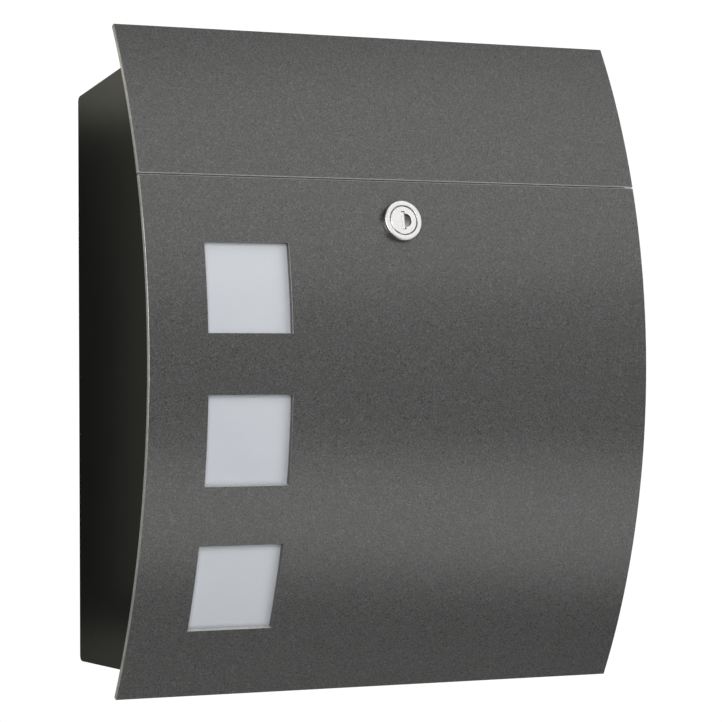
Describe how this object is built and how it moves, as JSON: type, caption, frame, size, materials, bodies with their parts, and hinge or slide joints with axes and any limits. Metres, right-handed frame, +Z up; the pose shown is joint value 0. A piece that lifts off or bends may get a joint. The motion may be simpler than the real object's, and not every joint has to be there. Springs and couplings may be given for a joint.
{
  "type": "wall mounted mailbox",
  "caption": "Wall mounted mailbox with a curved front: a lifting insert flap above a drop-down door that has a cam lock and square windows.",
  "frame": {"origin": "on the wall plane at the middle of the back, half way up the front plate", "axes": "+X to the right for someone in front of the box, +Y into the wall, so that the front faces -Y, +Z up"},
  "size_m": [0.335, 0.1227, 0.4],
  "materials": {
    "front_paint": "aluminium sheet under fine textured dark grey metallic powder coat",
    "body_paint": "sheet steel under smooth near-black powder coat",
    "zinc_steel": "zinc plated steel",
    "satin_nickel": "satin nickel plate",
    "satin_acrylic": "white translucent acrylic sheet with a satin face",
    "black_rubber": "matt black rubber"
  },
  "bodies": {
    "box": {"body_shell": "body_paint", "side_panel_left": "body_paint", "side_panel_right": "body_paint", "slot_rail": "body_paint", "flap_hinge_rod": "zinc_steel", "door_hinge_rod": "zinc_steel", "flap_hinge_lug_left": "body_paint", "flap_hinge_lug_right": "body_paint", "door_hinge_lug_left": "body_paint", "door_hinge_lug_right": "body_paint", "flap_rod_cap_left": "zinc_steel", "flap_rod_cap_right": "zinc_steel", "door_rod_cap_left": "zinc_steel", "door_rod_cap_right": "zinc_steel", "flap_bumper_left": "black_rubber", "flap_bumper_right": "black_rubber", "door_bumper_left": "black_rubber", "door_bumper_right": "black_rubber"},
    "flap": {"insert_flap": "front_paint", "flap_hinge_arm_left": "body_paint", "flap_hinge_arm_right": "body_paint"},
    "door": {"door_panel": "front_paint", "door_hinge_arm_left": "body_paint", "door_hinge_arm_right": "body_paint", "window_seal": "black_rubber", "window_pane": "satin_acrylic", "lock_housing": "satin_nickel", "lock_washer": "zinc_steel", "lock_nut": "zinc_steel", "pane_washer_1": "zinc_steel", "pane_washer_2": "zinc_steel", "pane_washer_3": "zinc_steel", "pane_washer_4": "zinc_steel", "pane_washer_5": "zinc_steel", "pane_washer_6": "zinc_steel", "pane_nut_1": "zinc_steel", "pane_nut_2": "zinc_steel", "pane_nut_3": "zinc_steel", "pane_nut_4": "zinc_steel", "pane_nut_5": "zinc_steel", "pane_nut_6": "zinc_steel"},
    "lock": {"lock_plug": "satin_nickel", "lock_cam": "zinc_steel", "cam_washer": "zinc_steel", "cam_screw": "zinc_steel"},
    "shutter": {"key_shutter": "satin_nickel"}
  },
  "joints": [
    {"name": "flap_hinge", "type": "hinge", "parent": "box", "child": "flap", "pos_m": [0, -0.06752, 0.16668], "axis": [-1, 0, 0], "range_deg": [0, 70]},
    {"name": "door_hinge", "type": "hinge", "parent": "box", "child": "door", "pos_m": [0, -0.06289, -0.17593], "axis": [1, 0, 0], "range_deg": [0, 80]},
    {"name": "lock_turn", "type": "hinge", "parent": "door", "child": "lock", "pos_m": [0, -0.11384, 0.08368], "axis": [0, -0.9779, 0.2092], "range_deg": [0, 90]},
    {"name": "shutter_push", "type": "slide", "parent": "lock", "child": "shutter", "axis": [0, 0.9779, -0.2092], "range_m": [0, 0.008], "stiffness_N_per_m": 40, "springref_m": -0.002}
  ]
}
